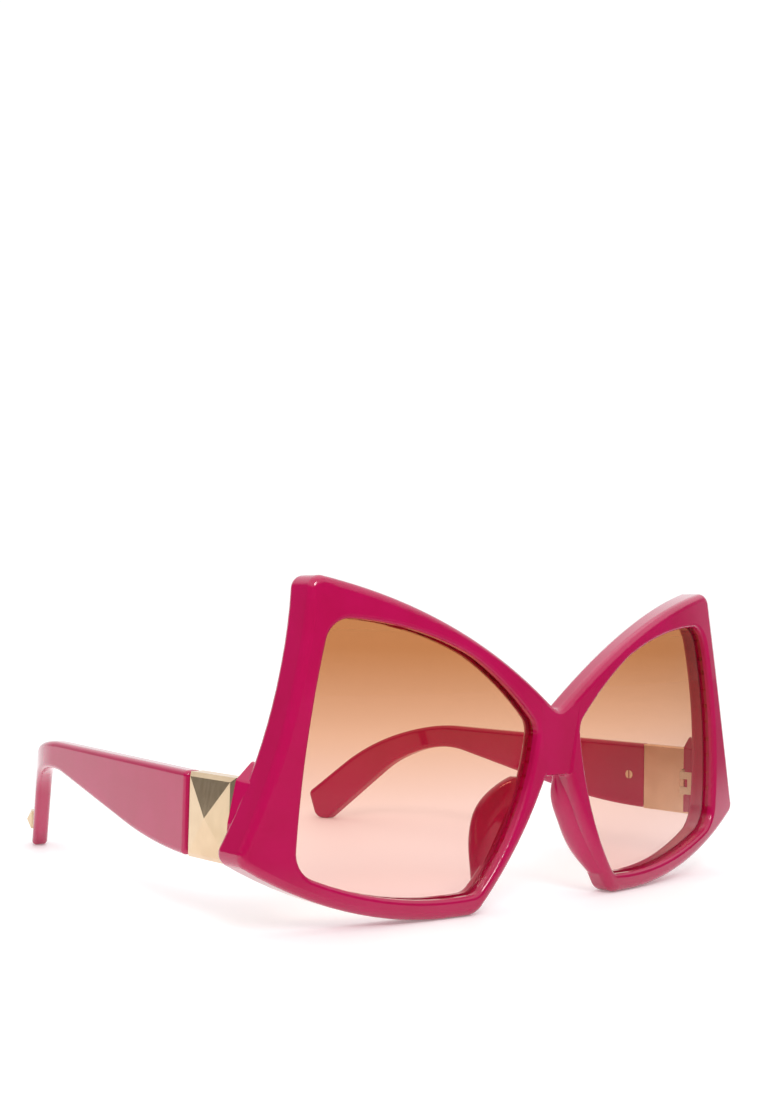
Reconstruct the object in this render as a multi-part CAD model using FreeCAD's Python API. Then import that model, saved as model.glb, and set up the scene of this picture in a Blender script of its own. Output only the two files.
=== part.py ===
"""Cat eye sunglasses: a thick wrapped front, tinted lenses and two folding temples with metal hinge blocks.

Millimetres. +Z is up and the front looks along -Y. X = 0 is the plane of symmetry and Z = 0 the surface
that the glasses stand on. The +X side is the wearer's left. Shapes are drawn with Y = 0 at the front of
the bridge, then every piece is shifted in Y, so that the origin is at the middle of the base.
"""

import FreeCAD, Part
import math
import os

from FreeCAD import Vector

# Front: wrap, depth and edge rounding
FRONT_RADIUS = 345.0
BACK_RADIUS = 262.0
WRAP_Z = 38.0
BRIDGE_DEPTH = 5.4
OUTER_FRONT_ROUND = 1.9
OUTER_BACK_ROUND = 1.2
OPENING_FRONT_ROUND = 0.9
OPENING_BACK_ROUND = 1.4
BLANK_DEPTH = 60.0
BLANK_CLEAR = 10.0

# Front: outline of the wearer's left half, as (x, z); each MID is a point on the arc between two corners
NOTCH = (0.0, 43.0)
TOP_MID = (29.5, 61.0)
TIP = (66.2, 72.1)
SIDE_MID = (71.5, 43.5)
LOWER_CORNER = (81.3, 15.2)
BOTTOM_MID = (56.0, 3.8)
FOOT_OUTER = (32.0, 0.0)
FOOT_INNER = (22.4, 0.0)
NASAL_MID = (11.1, 15.0)
ARCH_CORNER = (3.7, 28.8)
NOTCH_ROUND = 2.6
TIP_ROUND = 3.0
LOWER_CORNER_ROUND = 2.9
BOTTOM_ROUND = 60.0
FOOT_ROUND = 5.0
ARCH_ROUND = 1.4

# Front: lens opening of the wearer's left half: corner, its round, and a point on the arc that leaves it
OPENING = [
    ((6.9, 40.2), 4.5, (11.6, 22.2)),
    ((22.8, 4.5), 4.0, (45.0, 5.5)),
    ((68.5, 12.6), 6.5, (67.6, 34.0)),
    ((61.9, 63.0), 6.0, (42.0, 60.9)),
    ((26.0, 55.4), 30.0, (15.0, 47.8)),
]

# Bridge valley between the two rims
VALLEY_HALF_FOOT = 3.2
VALLEY_HALF_TOP = 7.2
VALLEY_DEPTH = 0.9
VALLEY_FOOT_Z = 26.0
VALLEY_TOP_Z = 48.5
VALLEY_CLEAR = 2.0

# Lenses
LENS_SETBACK = 1.9
LENS_THICKNESS = 2.0
LENS_SEAT = 0.8

# End piece that carries the hinge
JOINT_Y = 18.0
JOINT_GAP = 0.2
END_PIECE_FRONT_Y = 10.5
END_PIECE_BACK = [(69.7, 14.2), (69.7, 31.2), (72.4, 34.2), (76.6, 30.4), (78.4, 22.0), (78.8, 14.2)]
END_PIECE_FRONT = [(69.7, 14.8), (69.7, 30.4), (71.4, 32.2), (74.4, 29.6), (76.2, 22.0), (76.8, 14.8)]
END_PIECE_ROUND = 0.9

# Hinge
PIVOT_X = 71.2
PIVOT_Y = 18.5
PIVOT_Z = 21.8
KNUCKLE_RADIUS = 1.5
KNUCKLE_HEIGHT = 1.9
KNUCKLE_PLAY = 0.08
KNUCKLE_CLEARANCE = 0.25
PIVOT_RADIUS = 0.6
PIVOT_RUNNING_CLEARANCE = 0.05
PIVOT_HEAD_RADIUS = 1.15
PIVOT_HEAD_HEIGHT = 0.5
SLOT_WIDTH = 0.35
SLOT_DEPTH = 0.25
SLOT_REACH = 2.0
KNUCKLE_WEB = 1.0
LEAF_THICKNESS = 1.0
LEAF_LENGTH = 4.6

# Metal hinge block and its pyramid cap
BLOCK_INNER_X = 73.1
BLOCK_OUTER_X = 76.4
BLOCK_BACK_Y = 34.0
BLOCK_BOTTOM = 13.3
BLOCK_TOP = 30.7
CAP_THICKNESS = 0.8
CAP_BEVEL = 0.9
CAP_APEX = 1.2
BLOCK_EDGE = 0.3

# Temple: plan, and side profile as (y, z) corners with their rounds
TEMPLE_INNER_X = 73.3
TEMPLE_THICKNESS = 4.1
TOE_IN = math.radians(6.1)
EAR_TURN = math.radians(27.3)
EAR_BEND_Y = 111.0
EAR_BEND_RADIUS = 40.0
TEMPLE_END_Y = 160.0
TEMPLE_PROFILE = [
    ((30.6, 13.3), 0.0, None),
    ((30.6, 30.7), 0.0, None),
    ((122.0, 31.7), 52.0, None),
    ((147.7, 8.0), 1.6, None),
    ((145.4, 0.0), 3.0, None),
    ((141.4, 0.0), 2.0, None),
    ((113.8, 27.6), 30.0, None),
    ((48.3, 13.3), 150.0, None),
]
TEMPLE_ROUND = 1.2

# Core wire, its tang and the tang screw
TANG_THICKNESS = 1.2
TANG_HEIGHT = 6.0
TANG_FRONT_Y = 30.0
TANG_BACK_Y = 44.0
TANG_Z = 22.1
WIRE_RADIUS = 0.7
WIRE_ROOT = 2.0
WIRE_BACK_Y = 101.0
WIRE_BACK_Z = 27.9
TANG_SCREW_Y = 38.6
TANG_SCREW_RADIUS = 0.6
TANG_SCREW_LENGTH = 3.1
TANG_SCREW_HEAD_RADIUS = 1.15
TANG_SCREW_HEAD_HEIGHT = 0.5
TANG_SCREW_PROUD = 0.15

# Stud near the tip of each temple
STUD_Y = 140.3
STUD_Z = 7.4
STUD_WIDTH = 4.6
STUD_BASE = 0.5
STUD_APEX = 1.6
STUD_SUNK = 0.3

# Nose pads: height, nasal side of the rim there, and the pad's edge in X and Y
PAD_SECTIONS = [
    (28.6, 4.6, 8.6, 7.4),
    (26.0, 5.4, 12.2, 9.4),
    (22.5, 6.6, 14.6, 11.4),
    (18.0, 9.2, 15.9, 12.4),
    (13.0, 12.3, 16.6, 12.2),
    (8.5, 15.4, 18.0, 10.2),
    (5.0, 18.4, 20.0, 8.0),
]
PAD_ROOT_WIDTH = 3.0
PAD_ROOT_Y = 2.8
PAD_ROOT_INSET = 0.5
PAD_BULGE = 1.5
PAD_BULGE_SHARE = 0.45
PAD_HOLLOW = 1.0
PAD_TIP_WIDTH = 1.7
PAD_TIP_ROUND = 0.7
PAD_LENS_GAP = 0.25

FAR = 200.0
TOUCH = 0.02
ALONG_Y = Vector(0, 1, 0)
ALONG_X = Vector(1, 0, 0)


def at_xz(point, y=0.0):
    return Vector(point[0], y, point[1])


def line(a, b):
    return Part.LineSegment(a, b).toShape()


def arc(a, mid, b):
    return Part.Arc(a, mid, b).toShape()


def mirror_x(shape):
    return shape.mirror(Vector(0, 0, 0), Vector(1, 0, 0))


def box(x0, x1, y0, y1, z0, z1):
    return Part.makeBox(x1 - x0, y1 - y0, z1 - z0, Vector(x0, y0, z0))


def upright(radius, x, y, z0, z1):
    return Part.makeCylinder(radius, z1 - z0, Vector(x, y, z0), Vector(0, 0, 1))


def prism(edges, start, run):
    """Solid swept along run from the closed outline of the edges, moved to start."""
    face = Part.Face(Part.Wire(Part.__sortEdges__(edges)))
    return face.extrude(run).translated(start)


def round_sides(sides, rounds, normal):
    """Sides of a closed flat outline with exact arcs at their corners; rounds[i] is where side i ends."""
    sides = list(sides)
    plane = Part.Plane(Vector(0, 0, 0), normal)
    arcs = []
    for i, radius in enumerate(rounds):
        if radius == 0.0:
            continue
        after = (i + 1) % len(sides)
        ends = [v.Point for v in sides[i].Vertexes]
        corner = min(ends, key=lambda p: min(p.distanceToPoint(v.Point) for v in sides[after].Vertexes))
        tool = Part.ChFi2d.FilletAlgo()
        tool.init(Part.Wire([sides[i], sides[after]]), plane)
        tool.perform(radius)
        found = [shape.Edges[0] for shape in tool.result(corner)]
        arcs.append(found[0])
        sides[i] = found[1]
        sides[after] = found[2]
    return sides + arcs


def corner_outline(corners, place, normal):
    """Outline from (point, round, point on the arc that leaves the corner, or None for a straight side)."""
    points = [place(*point) for point, _, _ in corners]
    ends = points[1:] + points[:1]
    sides = []
    for start, end, (_, _, mid) in zip(points, ends, corners):
        sides.append(arc(start, place(*mid), end) if mid else line(start, end))
    rounds = [radius for _, radius, _ in corners]
    return round_sides(sides, rounds[1:] + rounds[:1], normal)


def behind(radius, setback):
    """Everything behind a ball surface that is furthest forward at X = 0, Y = setback, Z = WRAP_Z."""
    return Part.makeSphere(radius, Vector(0, setback + radius, WRAP_Z))


def surface_y(radius, setback, point):
    return setback + radius - math.sqrt(radius * radius - point.x ** 2 - (point.z - WRAP_Z) ** 2)


def lies_on(wall, point):
    return wall.distToShape(Part.Vertex(point))[0] < TOUCH


def round_rim(shape, radius, setback, wall, amount):
    """Round the edges where a wrapped surface meets the wall."""
    edges = []
    for edge in shape.Edges:
        samples = edge.discretize(5)
        on_surface = all(abs(p.y - surface_y(radius, setback, p)) < TOUCH for p in samples)
        if on_surface and lies_on(wall, samples[2]):
            edges.append(edge)
    return shape.makeFillet(amount, edges)


def front_outline():
    """The front's outline as a prism, both halves."""
    half = [
        arc(at_xz(NOTCH), at_xz(TOP_MID), at_xz(TIP)),
        arc(at_xz(TIP), at_xz(SIDE_MID), at_xz(LOWER_CORNER)),
        arc(at_xz(LOWER_CORNER), at_xz(BOTTOM_MID), at_xz(FOOT_OUTER)),
        line(at_xz(FOOT_OUTER), at_xz(FOOT_INNER)),
        arc(at_xz(FOOT_INNER), at_xz(NASAL_MID), at_xz(ARCH_CORNER)),
    ]
    arch = line(at_xz(ARCH_CORNER), at_xz((-ARCH_CORNER[0], ARCH_CORNER[1])))
    rounds = [TIP_ROUND, LOWER_CORNER_ROUND, BOTTOM_ROUND, FOOT_ROUND, ARCH_ROUND]
    sides = half + [arch] + [mirror_x(e) for e in half[::-1]]
    edges = round_sides(sides, rounds + rounds[::-1] + [NOTCH_ROUND], ALONG_Y)
    return prism(edges, ALONG_Y * -BLANK_CLEAR, ALONG_Y * BLANK_DEPTH)


def opening_prism(growth=0.0):
    """The wearer's left lens opening; every arc of it bulges outwards, so growth adds to each radius."""
    sides = []
    for edge in corner_outline(OPENING, lambda x, z: Vector(x, 0, z), ALONG_Y):
        circle = edge.Curve
        circle.Radius += growth
        sides.append(Part.ArcOfCircle(circle, edge.FirstParameter, edge.LastParameter).toShape())
    return prism(sides, ALONG_Y * -BLANK_CLEAR, ALONG_Y * BLANK_DEPTH)


def lens_blank():
    """The lens: the opening's outline grown by its seat, between two wrapped surfaces."""
    front = behind(FRONT_RADIUS, LENS_SETBACK)
    back = behind(FRONT_RADIUS, LENS_SETBACK + LENS_THICKNESS)
    return opening_prism(LENS_SEAT).common(front).cut(back).Solids[0]


def bridge_valley():
    """A shallow valley down the bridge; its walls spread and its floor rises until it is lost at the notch."""
    def section(z, half, depth):
        brow = half + VALLEY_CLEAR + depth
        corners = [(-brow, -VALLEY_CLEAR), (brow, -VALLEY_CLEAR), (half, depth), (-half, depth)]
        points = [Vector(x, y, z) for x, y in corners]
        return Part.makePolygon(points + [points[0]])

    low = section(VALLEY_FOOT_Z, VALLEY_HALF_FOOT, VALLEY_DEPTH)
    high = section(VALLEY_TOP_Z, VALLEY_HALF_TOP, 0.0)
    return Part.makeLoft([low, high], True, True)


def end_piece():
    """Swelling behind the wearer's left rim that flares out and gives the hinge a flat seat."""
    def section(corners, y):
        points = [at_xz(corner, y) for corner in corners]
        return Part.makePolygon(points + [points[0]])

    pad = Part.makeLoft([section(END_PIECE_FRONT, END_PIECE_FRONT_Y), section(END_PIECE_BACK, JOINT_Y)], True, True)
    outer = [e for e in pad.Edges if e.CenterOfMass.y > END_PIECE_FRONT_Y + TOUCH and e.CenterOfMass.z > PIVOT_Z]
    return pad.makeFillet(END_PIECE_ROUND, [e for e in outer if e.CenterOfMass.y < JOINT_Y - TOUCH])


def front_frame(opening, lens, pocket, leaf):
    outline = front_outline()
    blank = outline.common(behind(FRONT_RADIUS, 0.0)).cut(behind(BACK_RADIUS, BRIDGE_DEPTH))
    blank = round_rim(blank, FRONT_RADIUS, 0.0, outline.Shells[0], OUTER_FRONT_ROUND)
    blank = round_rim(blank, BACK_RADIUS, BRIDGE_DEPTH, outline.Shells[0], OUTER_BACK_ROUND)
    blank = blank.cut(box(-FAR, FAR, JOINT_Y, FAR, -FAR, FAR)).removeSplitter()
    for hole in (opening, mirror_x(opening)):
        blank = blank.cut(hole)
        blank = round_rim(blank, FRONT_RADIUS, 0.0, hole.Shells[0], OPENING_FRONT_ROUND)
        blank = round_rim(blank, BACK_RADIUS, BRIDGE_DEPTH, hole.Shells[0], OPENING_BACK_ROUND)
    end = end_piece()
    blank = blank.fuse(end).fuse(mirror_x(end)).removeSplitter().cut(bridge_valley())
    for tool in (lens, pocket, leaf):
        blank = blank.cut(tool).cut(mirror_x(tool))
    return blank.Solids[0]


def hinge_heights():
    """Bottom and top of the lower, middle and upper knuckle."""
    step = KNUCKLE_HEIGHT + KNUCKLE_PLAY
    middle = PIVOT_Z - KNUCKLE_HEIGHT / 2
    return [(middle + step * i, middle + step * i + KNUCKLE_HEIGHT) for i in (-1, 0, 1)]


def hinge_pocket():
    """Room that the knuckles turn in, cut from the end piece and from the hinge block."""
    heights = hinge_heights()
    z0 = heights[0][0] - KNUCKLE_CLEARANCE
    z1 = heights[2][1] + PIVOT_HEAD_HEIGHT + KNUCKLE_CLEARANCE
    return upright(KNUCKLE_RADIUS + KNUCKLE_CLEARANCE, PIVOT_X, PIVOT_Y, z0, z1)


def pivot_screw():
    heights = hinge_heights()
    shaft = upright(PIVOT_RADIUS, PIVOT_X, PIVOT_Y, heights[0][0], heights[2][1])
    top = heights[2][1] + PIVOT_HEAD_HEIGHT
    head = upright(PIVOT_HEAD_RADIUS, PIVOT_X, PIVOT_Y, heights[2][1], top)
    slot = box(PIVOT_X - SLOT_REACH, PIVOT_X + SLOT_REACH, PIVOT_Y - SLOT_WIDTH / 2, PIVOT_Y + SLOT_WIDTH / 2,
               top - SLOT_DEPTH, top + SLOT_REACH)
    return shaft.fuse(head).removeSplitter().cut(slot)


def hinge_leaf(screw):
    """Two knuckles on a plate that is sunk in the end piece."""
    low, middle, high = hinge_heights()
    plate_back = PIVOT_Y - KNUCKLE_RADIUS - KNUCKLE_CLEARANCE
    inner = PIVOT_X - KNUCKLE_RADIUS
    leaf = box(inner, inner + LEAF_THICKNESS, plate_back - LEAF_LENGTH, plate_back, low[0], high[1])
    for z0, z1 in (low, high):
        leaf = leaf.fuse(upright(KNUCKLE_RADIUS, PIVOT_X, PIVOT_Y, z0, z1))
        leaf = leaf.fuse(box(inner, inner + LEAF_THICKNESS, plate_back - KNUCKLE_WEB, PIVOT_Y, z0, z1))
    return leaf.removeSplitter().cut(screw)


def tang_and_wire():
    """Flat tang that enters the block, and the round wire that stiffens the temple."""
    x_mid = TEMPLE_INNER_X + TEMPLE_THICKNESS / 2
    tang = box(x_mid - TANG_THICKNESS / 2, x_mid + TANG_THICKNESS / 2, TANG_FRONT_Y, TANG_BACK_Y,
               TANG_Z - TANG_HEIGHT / 2, TANG_Z + TANG_HEIGHT / 2)
    tang.rotate(Vector(x_mid, BLOCK_BACK_Y, 0), Vector(0, 0, 1), math.degrees(TOE_IN))
    start_y = TANG_BACK_Y - WIRE_ROOT
    start = Vector(x_mid - (start_y - BLOCK_BACK_Y) * math.tan(TOE_IN), start_y, TANG_Z)
    end = Vector(x_mid - (WIRE_BACK_Y - BLOCK_BACK_Y) * math.tan(TOE_IN), WIRE_BACK_Y, WIRE_BACK_Z)
    run = end - start
    return tang.fuse(Part.makeCylinder(WIRE_RADIUS, run.Length, start, run)).removeSplitter()


def hinge_block(core):
    """Metal block with the middle knuckle, a socket for the tang and a seat for the cap."""
    front_y = JOINT_Y + JOINT_GAP
    block = box(BLOCK_INNER_X, BLOCK_OUTER_X, front_y, BLOCK_BACK_Y, BLOCK_BOTTOM, BLOCK_TOP)
    inner_edges = [e for e in block.Edges if e.BoundBox.XMax < BLOCK_INNER_X + TOUCH]
    block = block.makeChamfer(BLOCK_EDGE, inner_edges)
    middle = hinge_heights()[1]
    knuckle = upright(KNUCKLE_RADIUS, PIVOT_X, PIVOT_Y, *middle)
    web = box(PIVOT_X, PIVOT_X + KNUCKLE_RADIUS + KNUCKLE_WEB, front_y, PIVOT_Y + KNUCKLE_RADIUS, *middle)
    block = block.cut(hinge_pocket()).fuse(knuckle).fuse(web).removeSplitter()
    heights = hinge_heights()
    bore = upright(PIVOT_RADIUS + PIVOT_RUNNING_CLEARANCE, PIVOT_X, PIVOT_Y, heights[0][0], heights[2][1])
    return block.cut(bore).cut(core)


def pyramid(width_y, width_z, base, apex, bevel=0.0):
    """Four-sided stud that points along +X, standing on X = 0 with its middle at Y = Z = 0."""
    corners = ((-1, -1), (1, -1), (1, 1), (-1, 1))
    foot = [Vector(0, sy * width_y / 2, sz * width_z / 2) for sy, sz in corners]
    rim = [Vector(base, sy * (width_y / 2 - bevel), sz * (width_z / 2 - bevel)) for sy, sz in corners]
    top = Vector(base + apex, 0, 0)
    faces = [Part.Face(Part.makePolygon(foot + [foot[0]]))]
    for i in range(4):
        j = (i + 1) % 4
        faces.append(Part.Face(Part.makePolygon([foot[i], foot[j], rim[j], rim[i], foot[i]])))
        faces.append(Part.Face(Part.makePolygon([rim[i], rim[j], top, rim[i]])))
    return Part.makeSolid(Part.makeShell(faces))


def block_cap():
    front_y = JOINT_Y + JOINT_GAP
    cap = pyramid(BLOCK_BACK_Y - front_y, BLOCK_TOP - BLOCK_BOTTOM, CAP_THICKNESS, CAP_APEX, CAP_BEVEL)
    return cap.translated(Vector(BLOCK_OUTER_X, (front_y + BLOCK_BACK_Y) / 2, (BLOCK_TOP + BLOCK_BOTTOM) / 2))


def plan_face(offset):
    """Points along one face of the temple in plan, offset outwards from the inner face."""
    heading = (-math.sin(TOE_IN), math.cos(TOE_IN))
    out = Vector(heading[1], -heading[0], 0)
    start = Vector(TEMPLE_INNER_X, BLOCK_BACK_Y, 0) + out * offset
    turn = EAR_TURN - TOE_IN
    length = (EAR_BEND_Y - BLOCK_BACK_Y) / math.cos(TOE_IN)
    radius = EAR_BEND_RADIUS + offset
    tangent = EAR_BEND_RADIUS * math.tan(turn / 2)
    centre = Vector(TEMPLE_INNER_X, BLOCK_BACK_Y, 0) + Vector(*heading, 0) * (length - tangent) \
        - out * EAR_BEND_RADIUS

    def on_arc(angle):
        return centre + Vector(math.cos(angle), math.sin(angle), 0) * radius

    ear = (-math.sin(EAR_TURN), math.cos(EAR_TURN))
    bend_end = on_arc(EAR_TURN)
    reach = (TEMPLE_END_Y - bend_end.y) / ear[1]
    end = bend_end + Vector(*ear, 0) * reach
    return start, on_arc(TOE_IN), on_arc((TOE_IN + EAR_TURN) / 2), bend_end, end


def temple_plan():
    a = plan_face(0.0)
    b = plan_face(TEMPLE_THICKNESS)
    edges = [
        line(a[0], a[1]), arc(a[1], a[2], a[3]), line(a[3], a[4]), line(a[4], b[4]),
        line(b[4], b[3]), arc(b[3], b[2], b[1]), line(b[1], b[0]), line(b[0], a[0]),
    ]
    return prism(edges, Vector(0, 0, -FAR / 2), Vector(0, 0, FAR))


def temple_side():
    edges = corner_outline(TEMPLE_PROFILE, lambda y, z: Vector(0, y, z), ALONG_X)
    return prism(edges, Vector(0, 0, 0), ALONG_X * FAR)


def temple_arm(core, screw, stud):
    plan = temple_plan()
    arm = plan.common(temple_side())
    arm = arm.cut(box(0, FAR, 0, BLOCK_BACK_Y, -FAR, FAR)).removeSplitter()
    edges = []
    for edge in arm.Edges:
        middle = edge.discretize(3)[1]
        if middle.y > BLOCK_BACK_Y + TOUCH and lies_on(plan.Shells[0], middle):
            edges.append(edge)
    arm = arm.makeFillet(TEMPLE_ROUND, edges)
    return arm.cut(core).cut(screw).cut(stud).Solids[0]


def tang_screw():
    """Screw through the inner face of the temple and the tang."""
    x = TEMPLE_INNER_X - (TANG_SCREW_Y - BLOCK_BACK_Y) * math.tan(TOE_IN)
    axis = Vector(math.cos(TOE_IN), math.sin(TOE_IN), 0)
    face = Vector(x, TANG_SCREW_Y, TANG_Z)
    head_start = face - axis * TANG_SCREW_PROUD
    head = Part.makeCylinder(TANG_SCREW_HEAD_RADIUS, TANG_SCREW_HEAD_HEIGHT, head_start, axis)
    shaft = Part.makeCylinder(TANG_SCREW_RADIUS, TANG_SCREW_LENGTH, face, axis)
    slot = box(-SLOT_REACH, SLOT_DEPTH, -SLOT_WIDTH / 2, SLOT_WIDTH / 2, -SLOT_REACH, SLOT_REACH)
    slot.rotate(Vector(0, 0, 0), Vector(0, 0, 1), math.degrees(TOE_IN))
    return head.fuse(shaft).removeSplitter().cut(slot.translated(head_start))


def tip_stud():
    """Stud on the outer face, turned with the ear section."""
    bend_end, end = plan_face(TEMPLE_THICKNESS)[3:]
    share = (STUD_Y - bend_end.y) / (end.y - bend_end.y)
    seat = bend_end + (end - bend_end) * share
    stud = pyramid(STUD_WIDTH, STUD_WIDTH, STUD_BASE + STUD_SUNK, STUD_APEX - STUD_BASE)
    stud = stud.translated(Vector(-STUD_SUNK, 0, 0))
    stud.rotate(Vector(0, 0, 0), Vector(0, 0, 1), math.degrees(EAR_TURN))
    return stud.translated(Vector(seat.x, seat.y, STUD_Z))


def nose_pad(frame):
    """Saddle pad bonded to the back of the wearer's left nasal rim, clear of the lens."""
    behind_lens = behind(FRONT_RADIUS, LENS_SETBACK + LENS_THICKNESS + PAD_LENS_GAP)
    lens_room = opening_prism(LENS_SEAT + PAD_LENS_GAP).cut(behind_lens)
    wires = []
    for z, root_x, tip_x, tip_y in PAD_SECTIONS:
        points = [
            Vector(root_x + PAD_ROOT_WIDTH, PAD_ROOT_Y, z),
            Vector(root_x + PAD_ROOT_INSET, PAD_ROOT_Y, z),
            Vector(root_x - PAD_BULGE, PAD_ROOT_Y + PAD_BULGE_SHARE * (tip_y - PAD_ROOT_Y), z),
            Vector(tip_x - PAD_TIP_WIDTH, tip_y - PAD_TIP_ROUND, z),
            Vector(tip_x, tip_y, z),
            Vector(tip_x + PAD_TIP_ROUND, tip_y - PAD_TIP_WIDTH, z),
            Vector((root_x + PAD_ROOT_WIDTH + tip_x) / 2 + PAD_HOLLOW, (PAD_ROOT_Y + tip_y) / 2, z),
        ]
        curve = Part.BSplineCurve()
        curve.interpolate(points, True)
        wires.append(Part.Wire(curve.toShape()))
    pad = Part.makeLoft(wires, True, False)
    return pad.cut(frame).cut(lens_room).Solids[0]


def main():
    os.makedirs("parts", exist_ok=True)
    opening = opening_prism()
    lens = lens_blank()
    screw = pivot_screw()
    leaf = hinge_leaf(screw)
    front = front_frame(opening, lens, hinge_pocket(), leaf)
    core = tang_and_wire()
    core_screw = tang_screw()
    stud = tip_stud()
    left = {
        "lens": lens,
        "nose_pad": nose_pad(front),
        "hinge_leaf": leaf,
        "pivot_screw": screw,
        "hinge_block": hinge_block(core),
        "block_cap": block_cap(),
        "temple": temple_arm(core, core_screw, stud),
        "core_wire": core.cut(core_screw),
        "tang_screw": core_screw,
        "tip_stud": stud,
    }
    pieces = {"front_frame": front}
    for name, shape in left.items():
        pieces[name + "_left"] = shape
        pieces[name + "_right"] = mirror_x(shape)
    front_bounds = front.optimalBoundingBox(False, False)
    temple_bounds = left["temple"].optimalBoundingBox(False, False)
    shift = -(front_bounds.YMin + temple_bounds.YMax) / 2
    print("front", front_bounds, "temple", temple_bounds)
    print("shift in Y %.4f, pivot at x %.3f y %.4f" % (shift, PIVOT_X, PIVOT_Y + shift))
    for name, shape in pieces.items():
        moved = shape.translated(Vector(0, shift, 0))
        solids = len(moved.Solids)
        print("%-20s valid %s solids %d volume %.1f" % (name, moved.isValid(), solids, moved.Volume))
        moved.exportStep("parts/" + name + ".step")


main()
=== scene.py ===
"""Looks of the cat eye sunglasses: materials, soft light, floor and camera. Metres, +Z up, front along -Y."""

import math

import bpy
from mathutils import Matrix, Vector


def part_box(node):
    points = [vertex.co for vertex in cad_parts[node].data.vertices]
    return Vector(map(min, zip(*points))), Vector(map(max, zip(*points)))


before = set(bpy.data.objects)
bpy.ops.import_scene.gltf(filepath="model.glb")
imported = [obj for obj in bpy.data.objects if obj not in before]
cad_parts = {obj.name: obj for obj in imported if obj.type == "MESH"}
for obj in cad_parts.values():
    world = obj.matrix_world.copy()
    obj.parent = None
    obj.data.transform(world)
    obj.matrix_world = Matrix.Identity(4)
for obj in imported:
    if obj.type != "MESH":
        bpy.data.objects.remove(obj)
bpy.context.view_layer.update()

SIDES = ("left", "right")

# ---------------------------------------------------------------- camera

CAMERA_AT = Vector((-0.24927, -0.29176, 0.06152))
AZIMUTH, ELEVATION, ROLL = math.radians(-41.404), math.radians(-3.324), math.radians(1.261)
SENSOR_HEIGHT, LENS = 36.0, 47.55
SHIFT = (0.00564, -0.00764)
BEHIND = (0.66, 0.75, 0.0)
FLOOR_Z, FLOOR_SIZE, FLOOR_GLOW = -0.00005, 40.0, 0.22


def add_camera():
    ahead = Vector((-math.sin(AZIMUTH) * math.cos(ELEVATION), math.cos(AZIMUTH) * math.cos(ELEVATION),
                    -math.sin(ELEVATION)))
    level = Vector((math.cos(AZIMUTH), math.sin(AZIMUTH), 0.0))
    upward = level.cross(ahead)
    right = level * math.cos(ROLL) + upward * math.sin(ROLL)
    up = upward * math.cos(ROLL) - level * math.sin(ROLL)
    data = bpy.data.cameras.new("camera")
    data.sensor_fit = "VERTICAL"
    data.sensor_height, data.lens = SENSOR_HEIGHT, LENS
    data.shift_x, data.shift_y = SHIFT
    data.clip_start, data.clip_end = 0.01, 50.0
    camera = bpy.data.objects.new("camera", data)
    bpy.context.scene.collection.objects.link(camera)
    turn = Matrix((right, up, -ahead)).transposed().to_4x4()
    camera.matrix_world = Matrix.Translation(CAMERA_AT) @ turn
    bpy.context.scene.camera = camera


# ---------------------------------------------------------------- materials

def new_material(name):
    material = bpy.data.materials.new(name)
    material.use_nodes = True
    tree = material.node_tree
    tree.nodes.clear()
    output = tree.nodes.new("ShaderNodeOutputMaterial")
    return material, tree, output


def ramp(tree, source, stops):
    """Colour ramp fed by source; stops are (place, colour)."""
    node = tree.nodes.new("ShaderNodeValToRGB")
    elements = node.color_ramp.elements
    while len(elements) < len(stops):
        elements.new(0.5)
    for element, (place, colour) in zip(elements, stops):
        element.position = place
        element.color = (*colour, 1.0)
    tree.links.new(source, node.inputs["Fac"])
    return node.outputs["Color"]


def noise(tree, scale, detail=3.0, roughness=0.5, stretch=(1.0, 1.0, 1.0)):
    """Noise in the object's own metres."""
    place = tree.nodes.new("ShaderNodeTexCoord")
    mapping = tree.nodes.new("ShaderNodeMapping")
    mapping.inputs["Scale"].default_value = stretch
    node = tree.nodes.new("ShaderNodeTexNoise")
    node.inputs["Scale"].default_value = scale
    node.inputs["Detail"].default_value = detail
    node.inputs["Roughness"].default_value = roughness
    tree.links.new(place.outputs["Object"], mapping.inputs["Vector"])
    tree.links.new(mapping.outputs["Vector"], node.inputs["Vector"])
    return node.outputs["Fac"]


def spread(tree, source, low, high):
    node = tree.nodes.new("ShaderNodeMapRange")
    node.inputs["From Min"].default_value = 0.3
    node.inputs["From Max"].default_value = 0.7
    node.inputs["To Min"].default_value = low
    node.inputs["To Max"].default_value = high
    tree.links.new(source, node.inputs["Value"])
    return node.outputs["Result"]


def math_node(tree, operation, *values):
    """Math node fed by numbers and sockets."""
    node = tree.nodes.new("ShaderNodeMath")
    node.operation = operation
    for socket, value in zip(node.inputs, values):
        if isinstance(value, (int, float)):
            socket.default_value = value
        else:
            tree.links.new(value, socket)
    return node.outputs["Value"]


def eased(tree, source, span, values):
    node = tree.nodes.new("ShaderNodeMapRange")
    node.interpolation_type = "SMOOTHSTEP"
    node.inputs["From Min"].default_value, node.inputs["From Max"].default_value = span
    node.inputs["To Min"].default_value, node.inputs["To Max"].default_value = values
    tree.links.new(source, node.inputs["Value"])
    return node.outputs["Result"]


def along(tree, source, direction):
    """How far a place or direction goes along the given one."""
    node = tree.nodes.new("ShaderNodeVectorMath")
    node.operation = "DOT_PRODUCT"
    node.inputs[1].default_value = direction
    tree.links.new(source, node.inputs[0])
    return node.outputs["Value"]


def bump(tree, source, distance, strength=1.0, onto=None):
    node = tree.nodes.new("ShaderNodeBump")
    node.inputs["Distance"].default_value = distance
    node.inputs["Strength"].default_value = strength
    tree.links.new(source, node.inputs["Height"])
    if onto is not None:
        tree.links.new(onto, node.inputs["Normal"])
    return node.outputs["Normal"]


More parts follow.
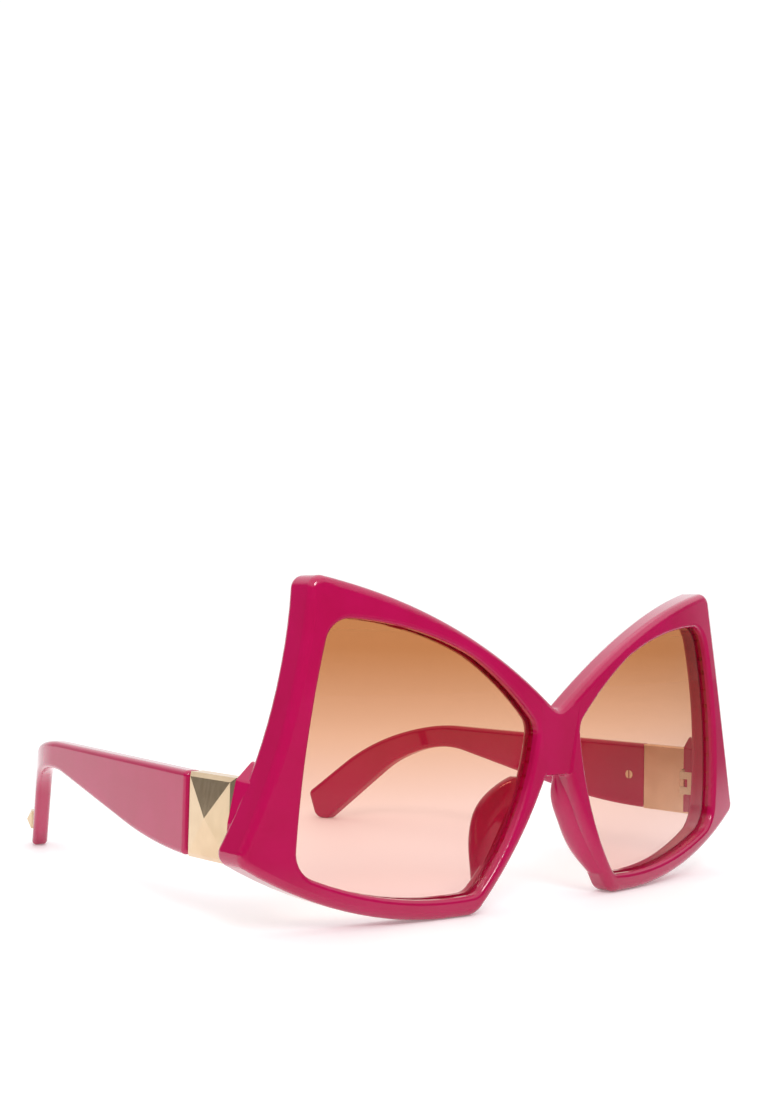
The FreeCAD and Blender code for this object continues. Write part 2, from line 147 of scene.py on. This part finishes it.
def acetate():
    """Polished fuchsia acetate: faint clouding in the sheet, slow waviness from tumbling, fine hairlines."""
    material, tree, output = new_material("fuchsia_acetate")
    shader = tree.nodes.new("ShaderNodeBsdfPrincipled")
    cloud = noise(tree, 55.0, 4.0, 0.55)
    sheet = ramp(tree, cloud, [(0.35, (0.450, 0.0014, 0.068)), (0.62, (0.495, 0.0020, 0.084))])
    tree.links.new(sheet, shader.inputs["Base Color"])
    hairline = noise(tree, 900.0, 2.0, 0.6, (1.0, 0.12, 1.0))
    tree.links.new(spread(tree, hairline, 0.09, 0.15), shader.inputs["Roughness"])
    wave = bump(tree, noise(tree, 70.0, 1.0), 0.00003, 0.4)
    tree.links.new(bump(tree, hairline, 0.000002, 0.5, wave), shader.inputs["Normal"])
    shader.inputs["Specular IOR Level"].default_value = 0.35
    shader.inputs["Coat Weight"].default_value = 0.6
    shader.inputs["Coat Roughness"].default_value = 0.02
    tree.links.new(shader.outputs["BSDF"], output.inputs["Surface"])
    return material


def tinted_lens():
    """Gradient lens, brown at the top and pale rose at the foot; each of its two faces gives half the tint."""
    low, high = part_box("lens_right")
    material, tree, output = new_material("gradient_lens")
    place = tree.nodes.new("ShaderNodeTexCoord")
    parts = tree.nodes.new("ShaderNodeSeparateXYZ")
    tree.links.new(place.outputs["Object"], parts.inputs["Vector"])
    height = tree.nodes.new("ShaderNodeMapRange")
    height.inputs["From Min"].default_value = low[2]
    height.inputs["From Max"].default_value = high[2]
    tree.links.new(parts.outputs["Z"], height.inputs["Value"])
    drift = math_node(tree, "MULTIPLY_ADD", noise(tree, 18.0, 1.0), 0.02, height.outputs["Result"])
    tint = ramp(tree, drift, [
        (0.05, (0.955, 0.815, 0.785)),
        (0.35, (0.945, 0.770, 0.710)),
        (0.60, (0.885, 0.655, 0.525)),
        (0.90, (0.755, 0.475, 0.290)),
    ])
    clear = tree.nodes.new("ShaderNodeBsdfTransparent")
    tree.links.new(tint, clear.inputs["Color"])
    gloss = tree.nodes.new("ShaderNodeBsdfGlossy")
    gloss.inputs["Roughness"].default_value = 0.02
    facing = tree.nodes.new("ShaderNodeLayerWeight")
    facing.inputs["Blend"].default_value = 0.5
    power = math_node(tree, "POWER", facing.outputs["Facing"], 4.0)
    share = math_node(tree, "MULTIPLY_ADD", power, 0.9, 0.035)
    smear = bump(tree, noise(tree, 40.0, 1.0), 0.00002, 0.4)
    tree.links.new(smear, gloss.inputs["Normal"])
    mix = tree.nodes.new("ShaderNodeMixShader")
    tree.links.new(share, mix.inputs["Fac"])
    tree.links.new(clear.outputs["BSDF"], mix.inputs[1])
    tree.links.new(gloss.outputs["BSDF"], mix.inputs[2])
    tree.links.new(mix.outputs["Shader"], output.inputs["Surface"])
    return material


def metal(name, colour, worn, rough, brush):
    """Plated metal: slight tone drift and a faint satin grain."""
    material, tree, output = new_material(name)
    shader = tree.nodes.new("ShaderNodeBsdfPrincipled")
    shader.inputs["Metallic"].default_value = 1.0
    plating = ramp(tree, noise(tree, 160.0, 3.0), [(0.35, worn), (0.6, colour)])
    tree.links.new(plating, shader.inputs["Base Color"])
    hairline = noise(tree, 1400.0, 2.0, 0.5, brush)
    tree.links.new(spread(tree, hairline, rough * 0.92, rough * 1.1), shader.inputs["Roughness"])
    tree.links.new(bump(tree, hairline, 0.0000004, 0.3), shader.inputs["Normal"])
    tree.links.new(shader.outputs["BSDF"], output.inputs["Surface"])
    return material


def floor_material():
    """White sweep; glossy rays see it painted dark ahead of the glasses, a painted dark reflection standing in
    for shade.
    """
    material, tree, output = new_material("studio_floor")
    shader = tree.nodes.new("ShaderNodeBsdfPrincipled")
    place = tree.nodes.new("ShaderNodeTexCoord").outputs["Object"]
    # painted shade in reflections: for glossy rays only, the floor ahead of the glasses loses its base colour
    # and its glow
    ahead = eased(tree, along(tree, place, (0.0, 1.0, 0.0)), (-0.12, -0.05), (0.88, 0.0))
    reflected = tree.nodes.new("ShaderNodeLightPath").outputs["Is Glossy Ray"]
    level = math_node(tree, "SUBTRACT", 1.0, math_node(tree, "MULTIPLY", ahead, reflected))
    paint = ramp(tree, noise(tree, 3.0, 2.0), [(0.3, (0.88, 0.88, 0.88)), (0.7, (0.90, 0.90, 0.90))])
    painted_reflection_shade = tree.nodes.new("ShaderNodeVectorMath")
    painted_reflection_shade.operation = "SCALE"
    tree.links.new(paint, painted_reflection_shade.inputs["Vector"])
    tree.links.new(level, painted_reflection_shade.inputs["Scale"])
    tree.links.new(painted_reflection_shade.outputs["Vector"], shader.inputs["Base Color"])
    shader.inputs["Roughness"].default_value = 0.5
    shader.inputs["Specular IOR Level"].default_value = 0.15
    shader.inputs["Emission Color"].default_value = (1.0, 1.0, 1.0, 1.0)
    tree.links.new(math_node(tree, "MULTIPLY", level, FLOOR_GLOW), shader.inputs["Emission Strength"])
    tree.links.new(shader.outputs["BSDF"], output.inputs["Surface"])
    return material


def dress(node, material):
    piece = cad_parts[node]
    piece.data.materials.clear()
    piece.data.materials.append(material)
    return piece


def dress_all():
    plastic = acetate()
    glass = tinted_lens()
    gold = metal("champagne_gold", (0.79, 0.60, 0.40), (0.73, 0.54, 0.35), 0.24, (1.0, 1.0, 0.08))
    hinge = metal("hinge_metal", (0.78, 0.66, 0.46), (0.70, 0.58, 0.40), 0.30, (0.1, 1.0, 1.0))
    steel = metal("core_steel", (0.60, 0.60, 0.62), (0.50, 0.50, 0.52), 0.32, (1.0, 0.08, 1.0))
    dress("front_frame", plastic)
    for side in SIDES:
        for name, material in (
            ("temple", plastic), ("nose_pad", plastic), ("lens", glass), ("hinge_block", gold),
            ("block_cap", gold), ("tip_stud", gold), ("tang_screw", gold), ("hinge_leaf", hinge),
            ("pivot_screw", hinge), ("core_wire", steel),
        ):
            dress(name + "_" + side, material)


# ---------------------------------------------------------------- studio

def add_area(name, place, aim, size, power):
    data = bpy.data.lights.new(name, "AREA")
    data.shape = "RECTANGLE"
    data.size, data.size_y = size
    data.energy = power
    light = bpy.data.objects.new(name, data)
    bpy.context.scene.collection.objects.link(light)
    light.location = place
    light.rotation_euler = (Vector(aim) - Vector(place)).to_track_quat("-Z", "Y").to_euler()


def add_world():
    """White to the eye; as a light it is bright overhead and behind the object and dim elsewhere."""
    world = bpy.data.worlds.new("studio")
    bpy.context.scene.world = world
    world.use_nodes = True
    tree = world.node_tree
    way = tree.nodes.new("ShaderNodeTexCoord").outputs["Generated"]
    height = along(tree, way, (0.0, 0.0, 1.0))
    behind = eased(tree, along(tree, way, BEHIND), (0.3, 0.8), (0.10, 1.05))
    above = eased(tree, height, (0.30, 0.60), (0.0, 1.0))
    glow = math_node(tree, "MAXIMUM", behind, above)
    seen = tree.nodes.new("ShaderNodeLightPath").outputs["Is Camera Ray"]
    background = tree.nodes["Background"]
    background.inputs["Color"].default_value = (1.0, 1.0, 1.0, 1.0)
    tree.links.new(math_node(tree, "MAXIMUM", glow, seen), background.inputs["Strength"])


def add_studio():
    scene = bpy.context.scene
    scene.view_settings.view_transform = "Standard"
    scene.view_settings.look = "None"
    add_world()
    place = (0.0, 0.0, FLOOR_Z)
    bpy.ops.mesh.primitive_grid_add(x_subdivisions=8, y_subdivisions=8, size=FLOOR_SIZE, location=place)
    floor = bpy.context.object
    floor.name = "studio_floor"
    floor.data.materials.append(floor_material())
    add_area("soft_top", (0.1, 0.1, 0.9), (0.0, 0.0, 0.0), (0.8, 0.8), 1.0)
    add_area("soft_key", (-0.55, -0.75, 0.75), (0.0, 0.0, 0.03), (0.35, 0.35), 4.5)


add_camera()
dress_all()
add_studio()
